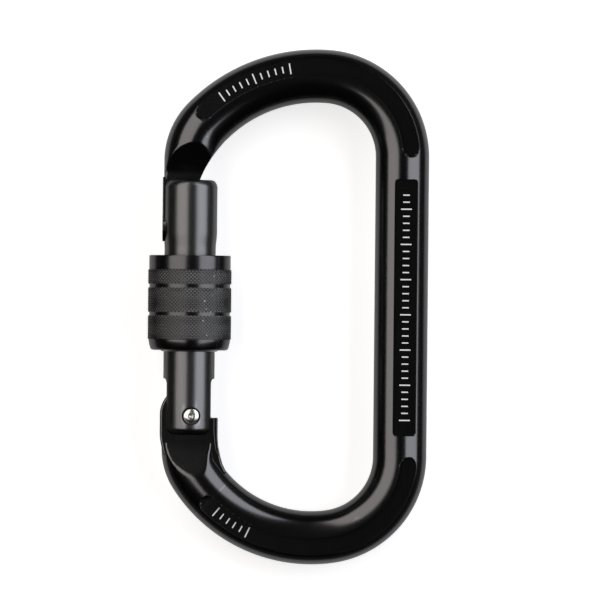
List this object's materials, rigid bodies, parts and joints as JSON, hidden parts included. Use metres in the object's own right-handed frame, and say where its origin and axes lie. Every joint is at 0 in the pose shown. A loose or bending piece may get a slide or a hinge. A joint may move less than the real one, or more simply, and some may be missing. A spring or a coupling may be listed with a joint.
{
  "type": "locking carabiner",
  "caption": "Oval locking carabiner: bent and forged bar, keylock gate on a rivet hinge, and a knurled sleeve that screws over the nose.",
  "frame": {"origin": "middle of the whole carabiner's bounding box, gate closed and sleeve unscrewed", "axes": "lies on its back: +X from the gate side to the spine, +Y from the hinge end to the nose end along the length, +Z out of the front face"},
  "size_m": [0.0598, 0.11, 0.0178],
  "materials": {
    "anodised_bar": "gloss black anodised, tumbled smooth",
    "anodised_gate": "satin black anodised, turned",
    "knurled_sleeve": "black anodised with a fine diamond knurl",
    "bright_steel": "bright stainless steel, peened",
    "spring_steel": "drawn spring steel"
  },
  "bodies": {
    "frame": {"frame_body": "anodised_bar"},
    "gate": {"gate_barrel": "anodised_gate", "hinge_rivet": "bright_steel", "gate_spring": "spring_steel", "sleeve_stop_ring": "bright_steel"},
    "plunger": {"spring_plunger": "spring_steel"},
    "sleeve_slider": {"sleeve_detent_ring": "spring_steel"},
    "sleeve": {"locking_sleeve": "knurled_sleeve"}
  },
  "joints": [
    {"name": "gate_hinge", "type": "hinge", "parent": "frame", "child": "gate", "pos_m": [-0.02035, -0.0235, 0], "axis": [0, 0, -1], "range_deg": [0, 33], "stiffness_Nm_per_rad": 0.3, "springref_deg": -34.38},
    {"name": "plunger_slide", "type": "slide", "parent": "gate", "child": "plunger", "axis": [0, 1, 0], "range_m": [0, 0.00159], "deforming": ["gate_spring"]},
    {"name": "sleeve_travel", "type": "slide", "parent": "gate", "child": "sleeve_slider", "axis": [0, 1, 0], "range_m": [0, 0.01651]},
    {"name": "sleeve_turn", "type": "hinge", "parent": "sleeve_slider", "child": "sleeve", "pos_m": [-0.02095, 0, 0], "axis": [0, 1, 0], "range_deg": [0, 1980]}
  ],
  "couplings": [
    {"joint": "plunger_slide", "follows": "gate_hinge", "m_per_rad": 0.0024134},
    {"joint": "sleeve_travel", "follows": "sleeve_turn", "m_per_rad": 0.00047746}
  ]
}
